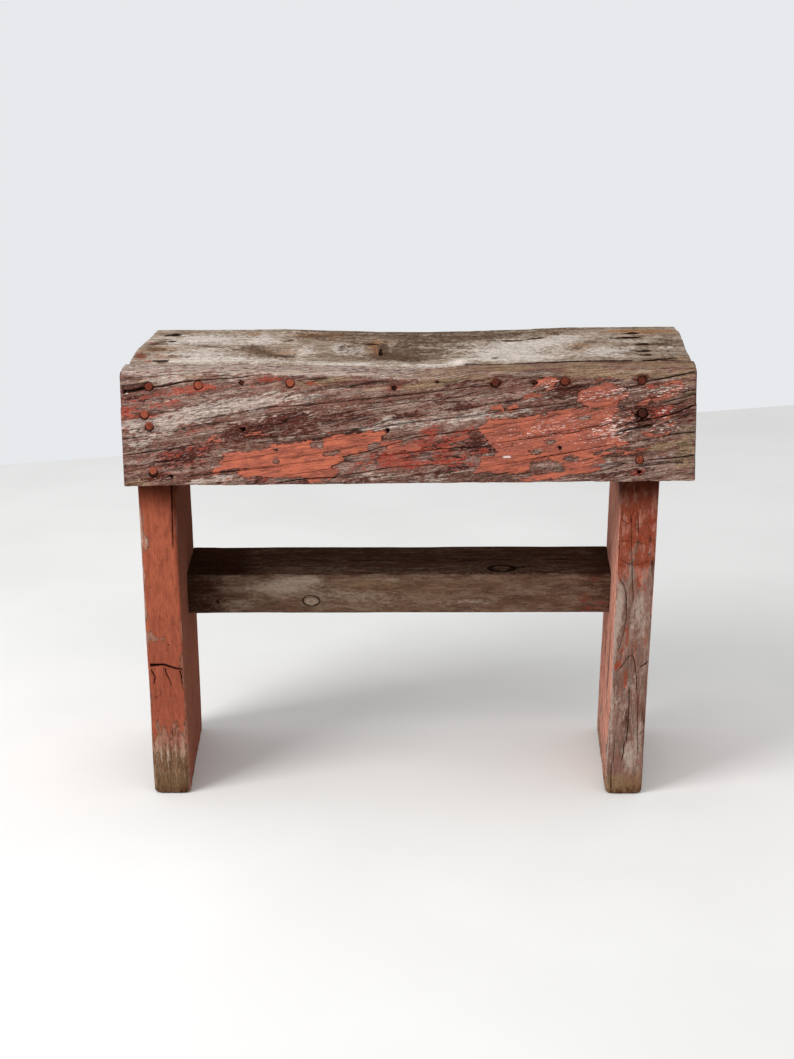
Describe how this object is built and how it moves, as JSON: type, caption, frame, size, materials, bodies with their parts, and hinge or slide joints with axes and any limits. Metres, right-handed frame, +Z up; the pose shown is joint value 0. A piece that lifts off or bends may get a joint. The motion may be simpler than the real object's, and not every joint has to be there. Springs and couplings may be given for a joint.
{
  "type": "bucket bench",
  "caption": "Low primitive bench of thick nailed boards: a dished seat, a deep front apron, plank legs and a flat stretcher, with barn-red paint flaking off weathered wood.",
  "frame": {"origin": "on the floor, under the middle of the bench's footprint", "axes": "+Z up; +X along the bench to the right, seen from the front; the apron faces -Y"},
  "size_m": [0.56, 0.232, 0.4608],
  "materials": {
    "weathered_seat_wood": "bare, grey and weathered, with brown streaks",
    "flaking_red_apron": "bare weathered wood under flaking matt barn-red paint",
    "painted_left_leg": "matt barn-red paint, worn through at the foot",
    "worn_right_leg": "bare grey-brown wood with barn-red paint left at the top",
    "weathered_stretcher_wood": "bare, dark and weathered",
    "rusty_nail": "rusted, with remnants of red paint"
  },
  "bodies": {
    "root": {"seat_plank": "weathered_seat_wood", "rear_strip": "weathered_seat_wood", "front_apron": "flaking_red_apron", "left_leg": "painted_left_leg", "right_leg": "worn_right_leg", "stretcher": "weathered_stretcher_wood", "front_apron_seat_nails": "rusty_nail", "front_apron_headless_nails": "rusty_nail", "front_apron_left_leg_nails": "rusty_nail", "front_apron_right_leg_nails": "rusty_nail", "seat_left_leg_nails": "rusty_nail", "seat_right_leg_nails": "rusty_nail", "rear_strip_left_leg_nails": "rusty_nail", "rear_strip_right_leg_nails": "rusty_nail", "left_leg_stretcher_nails": "rusty_nail", "right_leg_stretcher_nails": "rusty_nail", "bent_seat_nail": "rusty_nail"}
  },
  "joints": []
}
